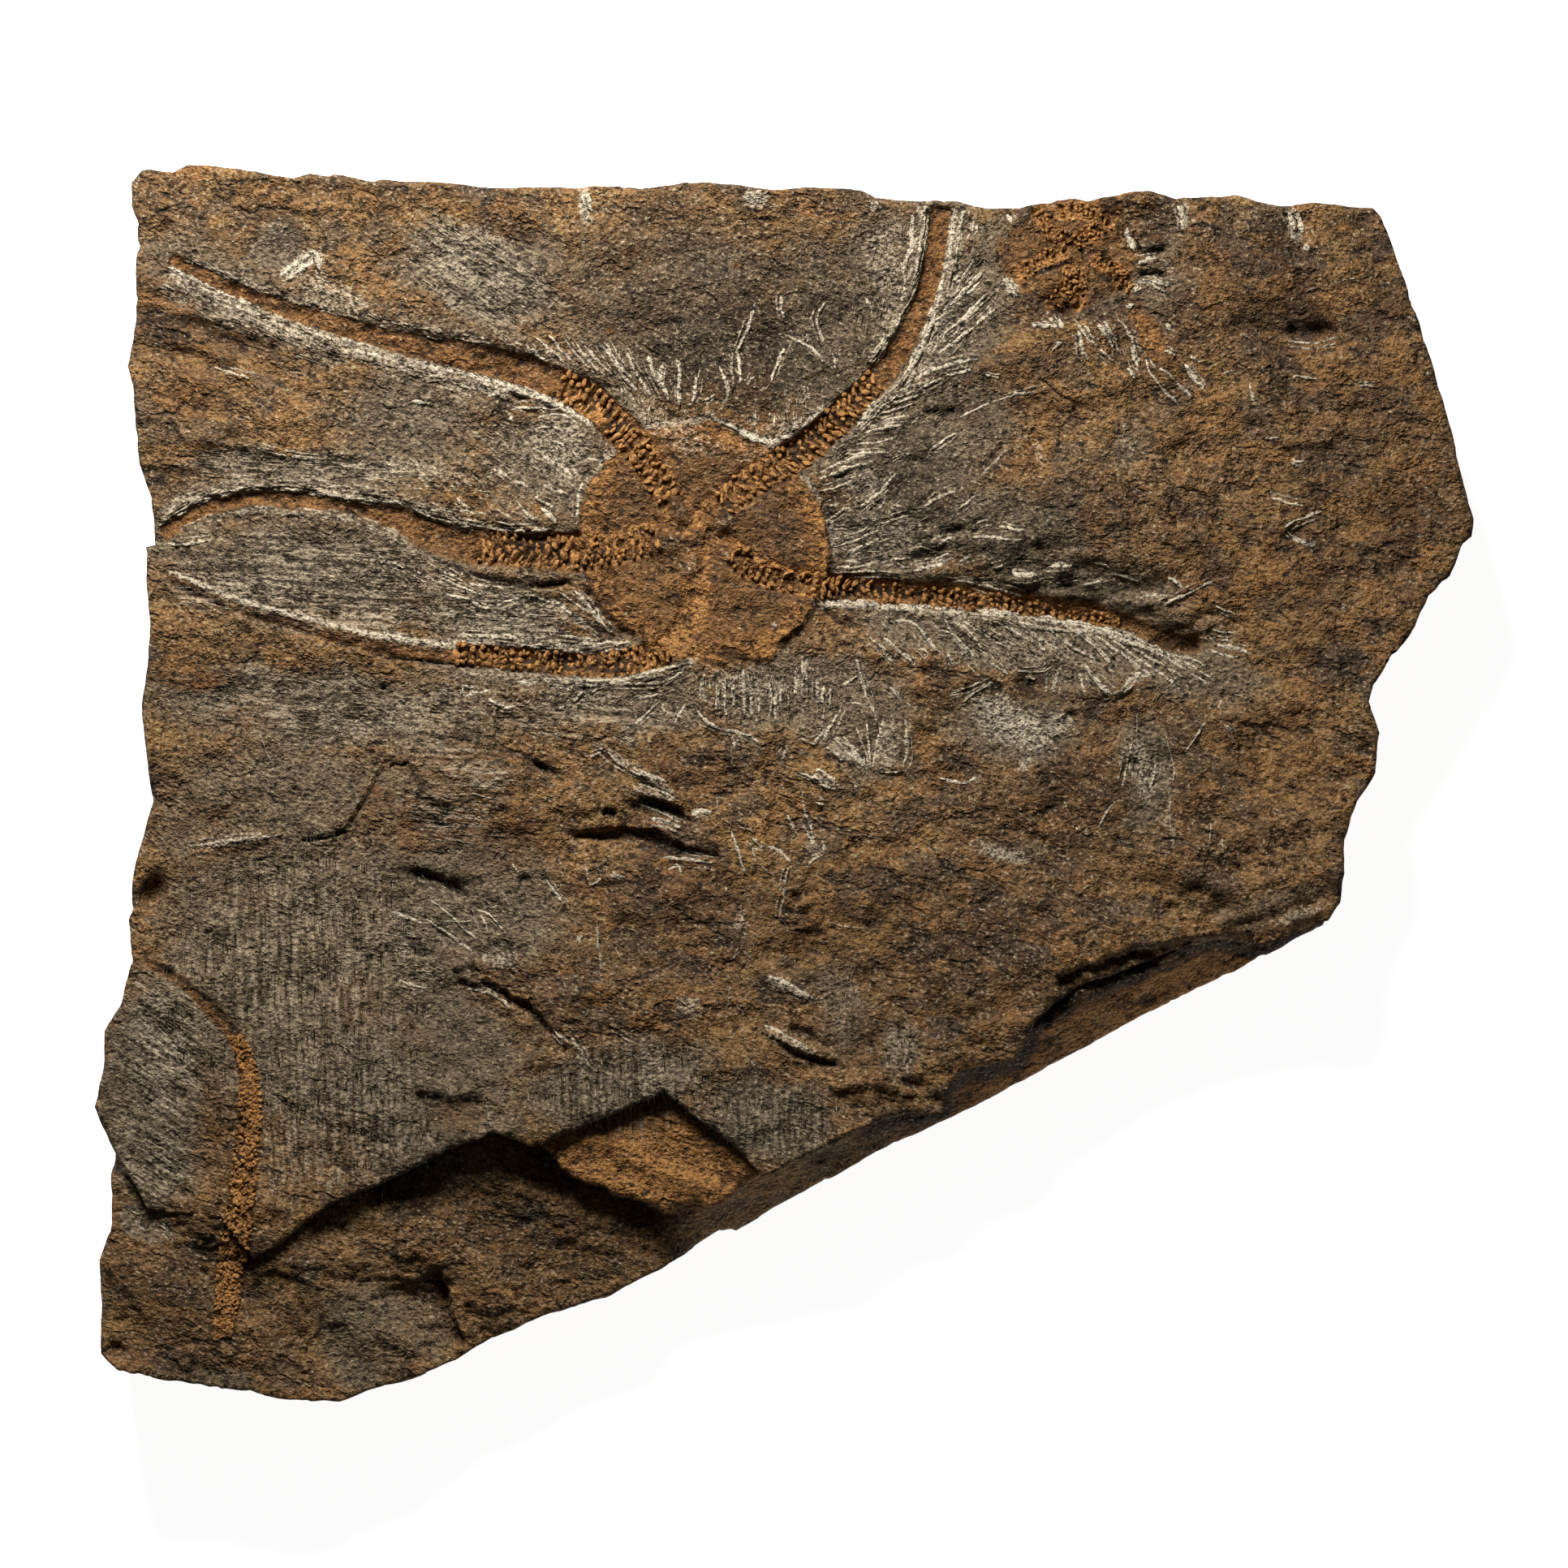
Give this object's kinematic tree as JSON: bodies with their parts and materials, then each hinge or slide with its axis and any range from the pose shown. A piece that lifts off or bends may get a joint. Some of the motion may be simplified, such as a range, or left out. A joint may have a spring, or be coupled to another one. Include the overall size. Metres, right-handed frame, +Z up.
{
  "type": "brittle star fossil plate",
  "caption": "Broken slab of layered siltstone lying flat, with a whole brittle star, part of a second and a lone arm in rusty relief on its face.",
  "frame": {"origin": "on the surface that the slab lies on, below the middle of its box", "axes": "+X along the longest side of the slab, +Y across it towards the edge that cuts the second star, +Z up out of the face with the fossils"},
  "size_m": [0.1698, 0.1528, 0.0192],
  "materials": {
    "siltstone": "rough broken bedding face, brown and grey with rust stains"
  },
  "bodies": {
    "root": {"fossil_plate": "siltstone"}
  },
  "joints": []
}
